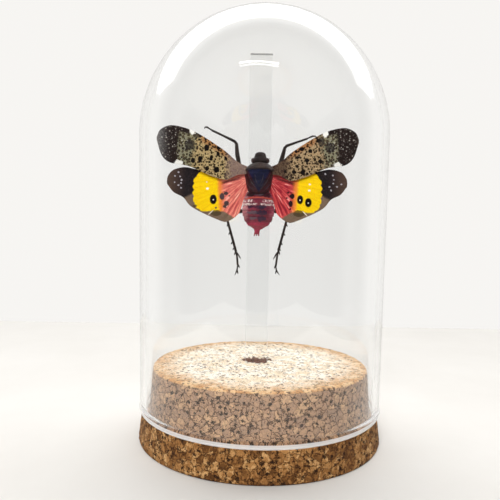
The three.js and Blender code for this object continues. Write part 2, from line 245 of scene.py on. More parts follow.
for spread, share, radius in ((0.75, 0.45, 0.4), (1.5, 0.4, 0.4)):
    bark = node(tree, "TexVoronoi", torn, None, spread)
    chosen = sums(tree, "LESS_THAN", node(tree, "SeparateColor", bark.outputs["Color"]).outputs[2], share)
    bits = sums(tree, "MULTIPLY", chosen, rise(tree, bark.outputs["Distance"], radius, radius - 0.1))
    speck = bits if speck is None else sums(tree, "MAXIMUM", speck, bits)
side = stain(tree, speck, 0.92, side, tone(38, 23, 14))
on_top = rise(tree, height, PLUG_TOP / MM - 0.75, PLUG_TOP / MM - 0.25)
from_axis = sums(tree, "SQRT", sums(tree, "ADD", sums(tree, "MULTIPLY", across, across),
                                    sums(tree, "MULTIPLY", back, back)))
# The top's near-white tones: partly the cork's own paler face, partly painted light from above.
pale_and_lit_top = mix(tree, rise(tree, granule, 0.3, 0.75), tone(240, 220, 188), tone(255, 249, 236))
rim = mix(tree, rise(tree, granule, 0.3, 0.75), tone(206, 150, 92), tone(232, 194, 142))
top = mix(tree, rise(tree, sums(tree, "MULTIPLY_ADD", grain, 14.0, from_axis), 29.0, 40.0), pale_and_lit_top, rim)
top = stain(tree, in_fine_seam, 0.32, top, tone(178, 116, 62))
top = stain(tree, speck, 0.9, top, tone(92, 58, 36))
near_strip = node(tree, "VectorMath", even, strip_centre / MM, operation="SUBTRACT").outputs[0]
near_strip = node(tree, "VectorMath", near_strip, (1, 1, 0), operation="MULTIPLY").outputs[0]
near_strip = node(tree, "VectorMath", near_strip, operation="LENGTH").outputs["Value"]
dug = sums(tree, "MULTIPLY", rise(tree, height, PLUG_TOP / MM - 0.3, PLUG_TOP / MM - 0.7),
           sums(tree, "LESS_THAN", near_strip, 8.0))
# Inside the dug-out hollow round the strip the cork is coloured a darker brown.
dug_out_brown = mix(tree, rise(tree, grain, 0.35, 0.65), tone(64, 34, 22), tone(132, 78, 50))
face = mix(tree, dug, mix(tree, on_top, side, top), dug_out_brown)
relief = sums(tree, "SUBTRACT", sums(tree, "MULTIPLY", grain, 0.5), sums(tree, "ADD", in_seam, speck))
feed(tree, shader, Base_Color=face, Normal=bump(tree, relief, 0.55, 0.25 * MM))
feed(tree, shader, Roughness=node(tree, "MapRange", grain, 0.3, 0.7, 0.72, 0.95).outputs[0])
shader.inputs["Specular IOR Level"].default_value = 0.25
finish_piece("cork_stopper", cork, [cork_look], "cork", "cork_base")

# The clear strip: a length of cast acrylic sheet, sawn to a narrow bar and stood in the cork's slot.
# Its broad faces are polished, and its sawn edges are faintly frosted.
STRIP_BEVEL = 0.28 * MM


def lets_light_through(material, shader):
    """Lamps shine through a clear piece onto what it covers."""
    tree = material.node_tree
    clear = node(tree, "BsdfTransparent").outputs[0]
    shadow = node(tree, "LightPath").outputs["Is Shadow Ray"]
    chosen = node(tree, "MixShader", shadow, shader.outputs[0], clear).outputs[0]
    tree.links.new(chosen, tree.nodes["Material Output"].inputs["Surface"])


def clear_look(name, tint, bending, smooth, smeared, ripple, clearness=1.0):
    """A clear material: smeared is its roughest patch, and ripple how far its surface wavers."""
    material, tree, shader = principled(name)
    place = millimetres(tree)
    smears = cloud(tree, place, 0.09, 4.0, 0.6)
    waver = cloud(tree, place, 0.05, 1.0)
    feed(tree, shader, Roughness=node(tree, "MapRange", smears, 0.45, 0.75, smooth, smeared).outputs[0])
    feed(tree, shader, Normal=bump(tree, waver, 0.3, ripple))
    shader.inputs["Base Color"].default_value = tint
    shader.inputs["IOR"].default_value = bending
    shader.inputs["Transmission Weight"].default_value = clearness
    lets_light_through(material, shader)
    return material


strip = bmesh.new()
bmesh.ops.create_cube(strip, size=1.0)
bmesh.ops.scale(strip, vec=strip_high - strip_low, verts=strip.verts)
bmesh.ops.translate(strip, vec=strip_centre, verts=strip.verts)
bmesh.ops.bevel(strip, geom=strip.edges[:], offset=STRIP_BEVEL, offset_type="OFFSET", segments=2,
                profile=0.5, affect="EDGES", material=-1)
for face in strip.faces:
    face.material_index = 1 if abs(face.normal.x) > 0.5 or abs(face.normal.z) > 0.5 else 0
polished = clear_look("acrylic_polished", (0.985, 0.99, 0.99, 1), 1.49, 0.0, 0.03, 0.02 * MM)
sawn = clear_look("acrylic_sawn", (0.84, 0.86, 0.86, 1), 1.49, 0.3, 0.45, 0.05 * MM, 0.85)
finish_piece("display_strip", strip, [polished, sawn], "clear_plastic", "clear_strip", smooth=False)

# The thorax: the hard middle of the insect, with the wings' hinges at its sides. A blue-black shield
# lies on its back and narrows to a point between the hindwings.
thorax_low, thorax_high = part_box("thorax")
WING_ROOT_ABOVE = 0.3 * MM
insect_place = Matrix.Translation(((thorax_low.x + thorax_high.x) / 2, 0, thorax_high.z - WING_ROOT_ABOVE))
insect_place = insect_place @ Matrix.Scale(MM, 4)
BODY_SIDES = 32
THORAX_RINGS = [
    (-7.1, 2.5, -2.3, 2.0), (-6.3, 2.9, -2.3, 2.5), (-5.4, 3.35, -2.3, 2.7), (-3.6, 3.8, -2.3, 2.9),
    (-1.6, 4.15, -2.3, 2.95), (-0.3, 4.1, -2.3, 2.9), (0.4, 3.7, -2.3, 2.6),
]
SHIELD_RINGS = [
    (-6.2, 0.3, -4.55, 0.35), (-5.6, 0.75, -4.7, 0.6), (-4.4, 1.5, -4.75, 0.8),
    (-3.2, 2.25, -4.75, 0.95), (-2.0, 2.95, -4.65, 1.05), (-0.9, 3.4, -4.5, 1.1),
    (-0.1, 3.45, -4.4, 1.05), (0.4, 3.1, -4.3, 0.8),
]
SHIELD_RIDGES = [[(2.75, -4.85, -2.6), (1.5, -5.35, -4.3), (0.25, -5.2, -5.7)],
                 [(1.3, -5.72, -1.2), (1.0, -5.68, -2.7), (0.35, -5.5, -4.3)],
                 [(3.5, -3.6, -3.6), (2.4, -4.3, -5.0), (0.9, -4.6, -6.2)]]


def grow_body(maker, rings, sides=BODY_SIDES):
    """A body part pulled up ring by ring; a ring is (z, half width, y of its centre, half depth, x)."""
    z, wide, y, deep, *aside = rings[0]
    made = bmesh.ops.create_circle(maker, cap_ends=True, segments=sides, radius=1.0)["verts"]
    bmesh.ops.scale(maker, vec=(wide, deep, 1), verts=made)
    bmesh.ops.translate(maker, vec=(aside[0] if aside else 0, y, z), verts=made)
    end = made[0].link_faces[0]
    if end.normal.z < 0:
        bmesh.ops.reverse_faces(maker, faces=[end])
    every = list(made)
    for before, after in zip(rings, rings[1:]):
        pulled = bmesh.ops.extrude_face_region(maker, geom=[end])["geom"]
        end = [item for item in pulled if isinstance(item, bmesh.types.BMFace)][0]
        old_x, new_x = [ring[4] if len(ring) > 4 else 0 for ring in (before, after)]
        centre = Matrix.Translation((-old_x, -before[2], 0))
        stretch = (after[1] / before[1], after[3] / before[3], 1)
        bmesh.ops.scale(maker, vec=stretch, space=centre, verts=end.verts)
        shift = (new_x - old_x, after[2] - before[2], after[0] - before[0])
        bmesh.ops.translate(maker, vec=shift, verts=end.verts)
        every += end.verts
    return every


def grow_limb(maker, points, sides=8):
    """A tapered tube through points, each (x, y, z, radius)."""
    places = [Vector(point[:3]) for point in points]
    made = bmesh.ops.create_circle(maker, cap_ends=True, segments=sides, radius=1.0)["verts"]
    end = made[0].link_faces[0]
    rings = [made]
    for _ in points[1:]:
        pulled = bmesh.ops.extrude_face_region(maker, geom=[end])["geom"]
        end = [item for item in pulled if isinstance(item, bmesh.types.BMFace)][0]
        rings.append(list(end.verts))
    for index, (ring, place) in enumerate(zip(rings, places)):
        before, after = places[max(index - 1, 0)], places[min(index + 1, len(places) - 1)]
        turn = (after - before).to_track_quat("Z", "Y").to_matrix().to_4x4()
        fit = Matrix.Translation(place) @ turn @ Matrix.Scale(points[index][3], 4)
        bmesh.ops.transform(maker, matrix=fit, verts=ring)
    return [vert for ring in rings for vert in ring]


def mirror_points(points):
    return [(-x, *rest) for x, *rest in points]


def finish_insect_piece(name, maker, materials, slot, nodes, smoothing=1):
    """Closes a part of the insect, puts it in its place and smooths it."""
    bmesh.ops.recalc_face_normals(maker, faces=maker.faces)
    bmesh.ops.transform(maker, matrix=insect_place, verts=maker.verts)
    piece = finish_piece(name, maker, materials, slot, *nodes)
    if smoothing:
        surface = piece.modifiers.new("smooth", "SUBSURF")
        surface.levels = surface.render_levels = smoothing
    return piece


def chitin_group():
    """Insect armour: fine pits and wrinkles, as a shade from dark to light and a height."""
    group = bpy.data.node_groups.new("chitin", "ShaderNodeTree")
    group.interface.new_socket("Place", in_out="INPUT", socket_type="NodeSocketVector")
    group.interface.new_socket("Shade", in_out="OUTPUT", socket_type="NodeSocketFloat")
    group.interface.new_socket("Height", in_out="OUTPUT", socket_type="NodeSocketFloat")
    place = group.nodes.new("NodeGroupInput").outputs["Place"]
    out = group.nodes.new("NodeGroupOutput")
    pits = node(group, "TexVoronoi", place, None, 5.5).outputs["Distance"]
    wrinkles = cloud(group, place, 2.2, 5.0, 0.62)
    patches = cloud(group, place, 0.6, 2.0)
    shade = sums(group, "ADD", sums(group, "MULTIPLY", wrinkles, 0.6), sums(group, "MULTIPLY", patches, 0.4))
    group.links.new(rise(group, shade, 0.3, 0.7), out.inputs["Shade"])
    raised = sums(group, "ADD", sums(group, "MULTIPLY", pits, 0.6), wrinkles)
    group.links.new(raised, out.inputs["Height"])
    return group


CHITIN = chitin_group()


def chitin(tree, place):
    made = node(tree, "Group", node_tree=CHITIN)
    tree.links.new(place, made.inputs["Place"])
    return made.outputs["Shade"], made.outputs["Height"]


def insect_point(tree, side=1, stretch=1.0):
    """A place on the insect as (outwards, depth, up) from its wing roots, in millimetres."""
    place = node(tree, "TexCoord").outputs["Object"]
    origin = insect_place.translation
    spread = side / (MM * stretch)
    shift = (-origin.x * spread, 0, -origin.z / MM)
    return node(tree, "Mapping", place, shift, None, (spread, 1 / MM, 1 / MM)).outputs[0]


def shell_look(name, dark, light, shine):
    """A plain armour material between two tones."""
    material, tree, shader = principled(name)
    shade, height = chitin(tree, insect_point(tree))
    feed(tree, shader, Base_Color=mix(tree, shade, dark, light), Normal=bump(tree, height, 0.35, 0.06 * MM))
    feed(tree, shader, Roughness=node(tree, "MapRange", shade, 0, 1, shine, shine + 0.22).outputs[0])
    return material


thorax = bmesh.new()
grow_body(thorax, THORAX_RINGS)
grow_body(thorax, SHIELD_RINGS)
for ridge in SHIELD_RIDGES:
    for points in (ridge, mirror_points(ridge)):
        raised = grow_limb(thorax, [(*point, 0.16) for point in points], 6)
        for face in {face for vert in raised for face in vert.link_faces}:
            face.material_index = 1
thorax_look, tree, shader = principled("thorax_shell")
point = insect_point(tree)
shade, height = chitin(tree, point)
across, depth, up = split(tree, point)
blue = mix(tree, shade, tone(5, 6, 16), tone(18, 23, 58))
brown = mix(tree, shade, tone(12, 5, 8), tone(74, 18, 30))
outward = sums(tree, "ABSOLUTE", across)
edge = sums(tree, "SUBTRACT", outward, sums(tree, "MULTIPLY_ADD", up, 0.52, 3.3))
sides = rise(tree, edge, -0.25, 0.35)
feed(tree, shader, Base_Color=mix(tree, sides, blue, brown), Normal=bump(tree, height, 0.4, 0.06 * MM))
feed(tree, shader, Roughness=node(tree, "MapRange", shade, 0, 1, 0.28, 0.5).outputs[0])
shader.inputs["Specular IOR Level"].default_value = 0.3
ridge_look = shell_look("thorax_ridges", tone(14, 11, 20), tone(66, 52, 66), 0.35)
finish_insect_piece("thorax_shell", thorax, [thorax_look, ridge_look], "body_chitin", ["thorax"])

# The pronotum: the collar between head and thorax, a thin saddle of dark brown armour with a keel
# along its middle and a lobe over each wing root.
PRONOTUM_RINGS = [
    (0.25, 4.1, -2.75, 2.45), (0.5, 4.4, -2.8, 2.6), (0.95, 4.4, -2.85, 2.6), (1.45, 3.85, -2.85, 2.45),
    (1.95, 3.1, -2.85, 2.2), (2.35, 2.4, -2.8, 1.9),
]
COLLAR_ASIDE = 0.2
COLLAR_DROOP = 0.035
pronotum = bmesh.new()
grow_body(pronotum, PRONOTUM_RINGS)
grow_limb(pronotum, [(0, -5.2, 0.4, 0.18), (0, -5.25, 1.2, 0.16), (0, -4.95, 2.0, 0.12)], 6)
for side in (-1, 1):
    grow_limb(pronotum, [(side * 2.6, -4.75, 0.5, 0.14), (side * 2.2, -4.8, 1.2, 0.14),
                         (side * 1.5, -4.7, 1.9, 0.1)], 6)
for vert in pronotum.verts:
    vert.co += Vector((COLLAR_ASIDE, 0, -COLLAR_DROOP * vert.co.x ** 2))
collar = shell_look("collar_shell", tone(16, 11, 11), tone(66, 50, 45), 0.42)
finish_insect_piece("collar", pronotum, [collar], "body_chitin", ["pronotum"])

# The head: a blunt dark front between two bulging eyes, with a bead-like feeler and its bristle
# under each eye and the sucking beak laid back along the breast.
HEAD_RINGS = [
    (2.0, 1.9, -2.75, 1.6), (2.6, 2.15, -2.75, 1.75), (3.2, 2.15, -2.7, 1.8), (3.65, 1.95, -2.65, 1.75),
    (4.1, 1.75, -2.6, 1.65), (4.7, 1.6, -2.5, 1.45), (5.15, 1.3, -2.45, 1.15), (5.42, 0.75, -2.4, 0.7),
]
EYE_PLACE = Vector((1.95, -2.85, 2.9))
EYE_SIZE = Vector((0.78, 0.95, 0.85))
FEELER = [(1.6, -1.6, 3.0, 0.3), (1.95, -1.2, 3.05, 0.4), (2.15, -0.95, 3.1, 0.22),
          (2.5, -0.6, 3.5, 0.05), (2.9, -0.3, 4.3, 0.03)]
HEAD_RIDGE = [(0.75, -4.35, 2.6, 0.1), (0.7, -4.25, 3.4, 0.1), (0.75, -3.95, 4.4, 0.09),
              (0.45, -3.3, 5.1, 0.06)]
BEAK = [(0, -1.0, 3.3, 0.5), (0, -0.3, 2.4, 0.42), (0, 0.75, 0.9, 0.26), (0, 0.95, -0.2, 0.2),
        (0, 0.9, -0.9, 0.1)]
HEAD_ASIDE = 0.32
head = bmesh.new()
grow_body(head, HEAD_RINGS, 24)
grow_limb(head, BEAK)
for points in (FEELER, mirror_points(FEELER), HEAD_RIDGE, mirror_points(HEAD_RIDGE)):
    grow_limb(head, points, 6)
for side in (-1, 1):
    eye = bmesh.ops.create_uvsphere(head, u_segments=16, v_segments=10, radius=1.0)["verts"]
    bmesh.ops.scale(head, vec=EYE_SIZE, verts=eye)
    bmesh.ops.translate(head, vec=(side * EYE_PLACE.x, EYE_PLACE.y, EYE_PLACE.z), verts=eye)
    for face in {face for vert in eye for face in vert.link_faces}:
        face.material_index = 1
bmesh.ops.translate(head, vec=(HEAD_ASIDE, 0, 0), verts=head.verts)
brow = shell_look("head_shell", tone(12, 8, 9), tone(48, 34, 31), 0.45)
eye_look = shell_look("eye_facets", tone(20, 14, 14), tone(66, 44, 40), 0.22)
finish_insect_piece("head_shell", head, [brow, eye_look], "body_chitin", ["head"])

# The abdomen: overlapping rings of maroon armour. White marks on the front rings are partly wax and
# partly painted highlight; blue-black bars lie along the middle of the next ones, and the tail ends in
# a small fork.
RING_EDGES = [-16.9, -16.0, -14.8, -13.2, -11.5, -9.9, -8.3, -7.0, -6.0]
ABDOMEN_WIDTHS = [(-17.1, 0.7), (-16.6, 1.4), (-16.0, 2.55), (-15.5, 3.2), (-14.2, 4.1), (-11.9, 4.75),
                  (-9.6, 4.6), (-7.4, 4.15), (-5.8, 3.2)]
ABDOMEN_Y = -2.3
ABDOMEN_FLATNESS = 0.53
RING_LIP = 0.13
RING_SHAPE = [(0.0, -1.0), (0.06, 1.0), (0.3, 0.8), (0.75, 0.0), (1.0, -1.0)]
TAIL_RINGS = [(-18.35, 0.82, -2.2, 0.35, -0.35), (-17.9, 0.8, -2.2, 0.5, -0.32),
              (-17.3, 0.82, -2.2, 0.55, -0.25), (-16.8, 1.1, -2.2, 0.65, -0.22),
              (-16.3, 1.5, -2.2, 0.8, -0.15)]
FIRST_PRONG = [(-0.92, -2.2, -18.0, 0.36), (-1.1, -2.2, -19.0, 0.17)]
PRONG_STEPS = (0.0, 0.56, 1.12)
PRONG_SPREAD = 1.25


def width_at(z):
    """The abdomen's half width at a height, straight between its given widths."""
    for (low, narrow), (high, wide) in zip(ABDOMEN_WIDTHS, ABDOMEN_WIDTHS[1:]):
        if z <= high:
            return narrow + (wide - narrow) * max(0.0, (z - low) / (high - low))
    return ABDOMEN_WIDTHS[-1][1]


def mark_group():
    """One round mark: a mask from a flat place, the mark's centre and its half size."""
    group = bpy.data.node_groups.new("round_mark", "ShaderNodeTree")
    for name in ("Place", "Centre", "Half size"):
        group.interface.new_socket(name, in_out="INPUT", socket_type="NodeSocketVector")
    group.interface.new_socket("Mask", in_out="OUTPUT", socket_type="NodeSocketFloat")
    given = group.nodes.new("NodeGroupInput").outputs
    out = group.nodes.new("NodeGroupOutput")
    away = node(group, "VectorMath", given["Place"], given["Centre"], operation="SUBTRACT").outputs[0]
    away = node(group, "VectorMath", away, given["Half size"], operation="DIVIDE").outputs[0]
    away = node(group, "VectorMath", away, operation="LENGTH").outputs["Value"]
    group.links.new(rise(group, away, 1.12, 0.88), out.inputs["Mask"])
    return group


MARK = mark_group()
FLAT = 1.0e6


def marks(tree, flat, spots):
    """The joined mask of marks given as (outwards, up, half width, half height)."""
    joined = None
    for out, up, wide, high in spots:
        mark = node(tree, "Group", flat, (out, up, 0), (wide, high, FLAT), node_tree=MARK).outputs[0]
        joined = mark if joined is None else sums(tree, "MAXIMUM", joined, mark)
    return joined


abdomen_rings = []
for low, high in zip(RING_EDGES, RING_EDGES[1:]):
    for share, lip in RING_SHAPE:
        z = low + share * (high - low)
        wide = width_at(z) + RING_LIP * lip * min(1.0, width_at(z) / 3)
        abdomen_rings.append((z, wide, ABDOMEN_Y, wide * ABDOMEN_FLATNESS))
abdomen = bmesh.new()
grow_body(abdomen, abdomen_rings, 40)
grow_body(abdomen, TAIL_RINGS, 16)
(root_x, *prong_root), (tip_x, *prong_tip) = FIRST_PRONG
for step in PRONG_STEPS:
    grow_limb(abdomen, [(root_x + step, *prong_root), (tip_x + step * PRONG_SPREAD, *prong_tip)], 6)
abdomen_look, tree, shader = principled("abdomen_rings")
point = insect_point(tree)
shade, height = chitin(tree, point)
across, depth, up = split(tree, roughened(tree, point, 1.2, 0.5))
outward = sums(tree, "ABSOLUTE", across)
colour = mix(tree, shade, tone(78, 18, 36), tone(142, 44, 64))
pale_flank = mix(tree, shade, tone(150, 72, 84), tone(206, 150, 152))
deep_flank = mix(tree, shade, tone(120, 38, 58), tone(166, 82, 98))
flank = mix(tree, rise(tree, across, -1.0, 1.0), pale_flank, deep_flank)
on_flank = sums(tree, "MULTIPLY", rise(tree, outward, 2.6, 3.9), rise(tree, up, -14.6, -13.2))
colour = mix(tree, on_flank, colour, flank)
last_ring = mix(tree, shade, tone(124, 28, 50), tone(176, 60, 82))
colour = mix(tree, rise(tree, up, -14.4, -15.4), colour, last_ring)
DARK_BARS = [(0.7, -10.6, 2.0, 0.55), (0.95, -12.2, 1.65, 0.75), (0.8, -13.9, 1.35, 0.7),
             (-2.0, -10.5, 1.2, 0.35)]
GREY_BARS = [(-1.75, -12.1, 1.5, 0.48), (-1.6, -13.7, 1.1, 0.45), (0.1, -7.0, 1.3, 0.3)]
FRONT_BARS = [(-2.2, -7.0, 1.6, 0.45), (2.2, -7.1, 1.7, 0.5), (0.0, -6.2, 4.0, 0.6)]
blurred = split(tree, roughened(tree, point, 1.1, 1.5))
flat = node(tree, "CombineXYZ", blurred[0], blurred[2]).outputs[0]
patchy = node(tree, "MapRange", cloud(tree, point, 1.6, 3.0), 0.35, 0.62, 0.72, 1.0).outputs[0]
for bars, paint in ((DARK_BARS, tone(24, 16, 44)), (FRONT_BARS, tone(12, 7, 10)),
                    (GREY_BARS, tone(86, 76, 84))):
    colour = mix(tree, sums(tree, "MULTIPLY", marks(tree, flat, bars), patchy), colour, paint)
bow = sums(tree, "MULTIPLY_ADD", sums(tree, "MULTIPLY", across, across), 0.03, up)
arc = rise(tree, sums(tree, "ABSOLUTE", sums(tree, "ADD", bow, 7.75)), 0.28, 0.12)
colour = stain(tree, arc, 0.8, colour, tone(196, 84, 62))
# White marks on the front rings: partly wax, partly painted highlight.
wax_glint_grain = cloud(tree, point, 1.9, 5.0, 0.7)
for wax_glint_up, wax_glint_half, wax_glint_least, inside in ((-8.7, 0.5, 0.47, 1.0), (-9.75, 0.34, 0.43, 0.2)):
    away = sums(tree, "ABSOLUTE", sums(tree, "SUBTRACT", up, wax_glint_up))
    in_row = rise(tree, away, wax_glint_half, wax_glint_half * 0.5)
    wax_and_glint = sums(tree, "MULTIPLY", in_row, rise(tree, wax_glint_grain, wax_glint_least, wax_glint_least + 0.1))
    wax_and_glint = sums(tree, "MULTIPLY", wax_and_glint, rise(tree, outward, inside, inside + 0.7))
    colour = mix(tree, wax_and_glint, colour, tone(246, 232, 226))
feed(tree, shader, Base_Color=colour, Normal=bump(tree, height, 0.45, 0.07 * MM))
feed(tree, shader, Roughness=node(tree, "MapRange", shade, 0, 1, 0.3, 0.55).outputs[0])
finish_insect_piece("abdomen_rings", abdomen, [abdomen_look], "abdomen_chitin", ["abdomen"])

# The legs: jointed tubes of black armour. The front pair reach up past the forewings, the middle pair
# fold behind the hindwings, and the hind pair hang down with rows of spines on their shins.
LEFT_FORELEG = [
    (-2.2, 0.1, 0.2, 0.75), (-4.6, -0.1, 0.6, 0.6), (-5.8, -0.4, 1.8, 0.5), (-6.5, -0.6, 5, 0.55),
    (-6.75, -0.6, 8.0, 0.4), (-7.3, -0.6, 8.7, 0.36), (-10.5, -0.6, 10.2, 0.27),
    (-14.0, -0.6, 11.75, 0.26), (-14.2, -0.6, 11.9, 0.16), (-15.5, -0.6, 12.65, 0.22),
    (-16.1, -0.6, 12.65, 0.16), (-16.3, -0.6, 12.1, 0.06),
]
RIGHT_FORELEG = [
    (2.2, 0.1, 0.2, 0.75), (4.6, -0.1, 0.6, 0.6), (5.8, -0.4, 1.4, 0.5), (6.8, -0.6, 4.2, 0.55),
    (7.5, -0.6, 7.1, 0.4), (8.1, -0.6, 7.7, 0.36), (11, -0.6, 8.75, 0.27), (14.0, -0.6, 9.8, 0.26),
    (14.2, -0.6, 9.95, 0.16), (15.6, -0.6, 10.55, 0.22), (16.4, -0.6, 10.6, 0.16),
    (17.0, -0.6, 10.2, 0.06),
]
MIDLEG = [
    (2.1, 0.3, -3.4, 0.75), (4.4, 0.2, -3.2, 0.6), (5.6, 0.0, -2.9, 0.5), (9.6, -0.4, -1.9, 0.5),
    (11.2, -0.5, -1.9, 0.38), (11.8, -0.5, -2.6, 0.32), (13.0, -0.4, -6.0, 0.26),
    (13.6, -0.2, -9.0, 0.25), (13.6, -0.2, -9.2, 0.15), (13.4, 0, -10.8, 0.2), (13.0, 0.1, -11.6, 0.08),
]
LEFT_HINDLEG = [
    (-1.5, 0.5, -6.6, 0.75), (-2.6, 0.7, -9.4, 0.6), (-3.6, 0.6, -11.0, 0.5), (-5.4, 0.2, -11.6, 0.5),
    (-8.9, -0.4, -11.7, 0.42), (-9.75, -0.5, -12.2, 0.38), (-9.0, -0.6, -14.8, 0.3),
    (-6.5, -0.6, -23.4, 0.32), (-6.4, -0.6, -23.8, 0.2), (-6.1, -0.6, -25.2, 0.25),
    (-5.9, -0.6, -27.5, 0.26), (-5.9, -0.6, -27.8, 0.16), (-6.1, -0.6, -29.2, 0.2),
    (-6.8, -0.6, -30.8, 0.07),
]
RIGHT_HINDLEG = [
    (1.5, 0.5, -6.6, 0.75), (2.6, 0.7, -9.4, 0.6), (3.6, 0.6, -11.0, 0.5), (5.4, 0.2, -11.4, 0.5),
    (8.4, -0.4, -11.4, 0.42), (9.15, -0.5, -11.9, 0.38), (8.4, -0.6, -14.5, 0.3),
    (6.3, -0.6, -22.9, 0.32), (6.2, -0.6, -23.3, 0.2), (5.9, -0.6, -25.0, 0.25),
    (5.6, -0.6, -27.6, 0.26), (5.6, -0.6, -27.9, 0.16), (5.8, -0.6, -29.0, 0.2),
    (6.9, -0.6, -30.6, 0.07),
]
SPINES = {
    "hindleg_left": [((-8.8, -15.2), (-9.4, -16.3)), ((-8.15, -17.6), (-8.85, -18.7)),
                     ((-7.4, -20.5), (-8.1, -21.5)), ((-6.9, -22.2), (-7.5, -23.2)),
                     ((-6.4, -23.4), (-4.8, -26.0)), ((-5.9, -27.2), (-5.2, -28.6)),
                     ((-6.5, -23.3), (-7.0, -24.8)), ((-6.1, -28.9), (-5.7, -30.4))],
    "hindleg_right": [((8.3, -14.9), (8.9, -16.0)), ((7.6, -17.7), (8.25, -18.7)),
                      ((6.9, -20.5), (7.5, -21.5)), ((6.45, -22.2), (7.0, -23.3)),
                      ((6.2, -23.1), (4.6, -26.0)), ((5.6, -27.3), (5.05, -28.6)),
                      ((6.3, -23.0), (6.8, -24.5)), ((5.8, -28.8), (5.5, -30.2))],
}
SPINE_Y = -0.6
SPINE_RADIUS = 0.4
LEG_FULLNESS = 1.3
LEGS = {
    "foreleg_left": LEFT_FORELEG, "foreleg_right": RIGHT_FORELEG,
    "midleg_left": mirror_points(MIDLEG), "midleg_right": MIDLEG,
    "hindleg_left": LEFT_HINDLEG, "hindleg_right": RIGHT_HINDLEG,
}
HAIRS_PER_LEG = 90
HAIR_LENGTH = 0.42


def add_hairs(maker, points, count, length, seed):
    """Short stiff hairs standing on a limb's outer half, each a slim cone."""
    draw = random.Random(seed)
    for _ in range(count):
        index = draw.randrange(2, len(points) - 2)
        start, end = Vector(points[index][:3]), Vector(points[index + 1][:3])
        share = draw.random()
        radius = points[index][3] * (1 - share) + points[index + 1][3] * share
        along = (end - start).normalized()
        around = along.orthogonal().normalized()
        around.rotate(Matrix.Rotation(draw.uniform(0, 2 * math.pi), 3, along))
        root = start.lerp(end, share) + around * radius * 0.7
        tip = root + (around + along * 0.9).normalized() * length * draw.uniform(0.6, 1.0)
        grow_limb(maker, [(*root, 0.035), (*tip, 0.008)], 3)


leg_look = shell_look("leg_shell", tone(15, 11, 10), tone(52, 40, 35), 0.34)
for seed, (name, points) in enumerate(LEGS.items()):
    leg = bmesh.new()
    points = [(x, y, z, radius * LEG_FULLNESS) for x, y, z, radius in points]
    grow_limb(leg, points, 10)
    for (from_x, from_z), (to_x, to_z) in SPINES.get(name, []):
        grow_limb(leg, [(from_x, SPINE_Y, from_z, SPINE_RADIUS), (to_x, SPINE_Y, to_z, 0.15)], 6)
    add_hairs(leg, points, HAIRS_PER_LEG, HAIR_LENGTH, seed)
    finish_insect_piece(name + "_shell", leg, [leg_look], "leg_chitin", [name])

# The hindwings: thin pleated fans, red at the root, yellow in the middle with black eye spots, black
# and white-flecked at the tip, and smoky along the rear edge. They tuck under the forewings.
HINDWING_LEADING = [(2.6, -0.4), (6, -0.8), (9, -1.0), (14, -0.5), (18, 0.2), (21.2, 0.75), (24.5, 0),
                    (26.1, -1.7), (26.5, -3.3)]
HINDWING_TRAILING = [(2.4, -3.6), (2.8, -5.2), (3.5, -6.8), (4.4, -8.6), (5.0, -10.8), (5.7, -12.4),
                     (7.2, -13.8), (8.9, -14.7), (10.6, -14.65), (16.2, -12.3), (19.7, -10.3),
                     (21.7, -7.95), (24.6, -6.4), (26.4, -4.1)]
HINDWING_Y = -2.5
HINDWING_CAMBER = 0.3
LEFT_STRETCH = 1.02
RIGHT_STRETCH = 0.98
WING_ROWS = 150
WING_COLUMNS = 84
WING_THICKNESS = 0.14 * MM
WING_HINGE = Vector((2.2, -1.9))
VEIN_HEIGHT = 0.09
VEIN_HALF = 0.13
HINDWING_VEINS = [-0.02, -0.1, -0.2, -0.32, -0.46, -0.6, -0.74, -0.88, -1.02, -1.16, -1.3]
PLEAT_HEIGHT = 0.13
ORANGE_REACH = (10.0, 11.6)
YELLOW_REACH = (11.4, 12.5)
TIP_REACH = (18.4, 18.65)
LOBE_WIDTH = 1.9
LOBE_DEPTH = 0.45
SMOKY_BELOW = (-11.6, -12.1)


def smooth_way(points, steps):
    """Evenly spaced places on a smooth curve through points."""
    fine = []
    padded = [2 * Vector(points[0]) - Vector(points[1])] + [Vector(p) for p in points]
    padded.append(2 * padded[-1] - padded[-2])
    for a, b, c, d in zip(padded, padded[1:], padded[2:], padded[3:]):
        for k in range(24):
            t = k / 24
            bend = (2 * a - 5 * b + 4 * c - d) * t * t + (3 * b - a - 3 * c + d) * t ** 3
            fine.append(b + ((c - a) * t + bend) / 2)
    fine.append(padded[-2])
    run = [0.0]
    for start, end in zip(fine, fine[1:]):
        run.append(run[-1] + (end - start).length)
    spaced, index = [], 0
    for k in range(steps + 1):
        target = run[-1] * k / steps
        while index < len(run) - 2 and run[index + 1] < target:
            index += 1
        share = (target - run[index]) / max(run[index + 1] - run[index], 1e-9)
        spaced.append(fine[index].lerp(fine[index + 1], share))
    return spaced


def wing_sheet(leading, trailing, y, camber, side, stretch, relief):
    """A wing as a fine grid between its edges, with its own map of span and chord."""
    maker = bmesh.new()
    bmesh.ops.create_grid(maker, x_segments=WING_ROWS, y_segments=WING_COLUMNS, size=0.5)
    layer = maker.loops.layers.uv.new("wing")
    front, rear = smooth_way(leading, WING_ROWS), smooth_way(trailing, WING_ROWS)
    for face in maker.faces:
        for loop in face.loops:
            loop[layer].uv = (loop.vert.co.x + 0.5, loop.vert.co.y + 0.5)
    for vert in maker.verts:
        span, chord = vert.co.x + 0.5, vert.co.y + 0.5
        row = min(WING_ROWS, max(0, round(span * WING_ROWS)))
        flat = front[row].lerp(rear[row], chord)
        lift = camber * math.sin(math.pi * span) * math.sin(math.pi * chord) + relief(flat, chord)
        vert.co = (side * stretch * flat.x, y - lift, flat.y)
    return maker


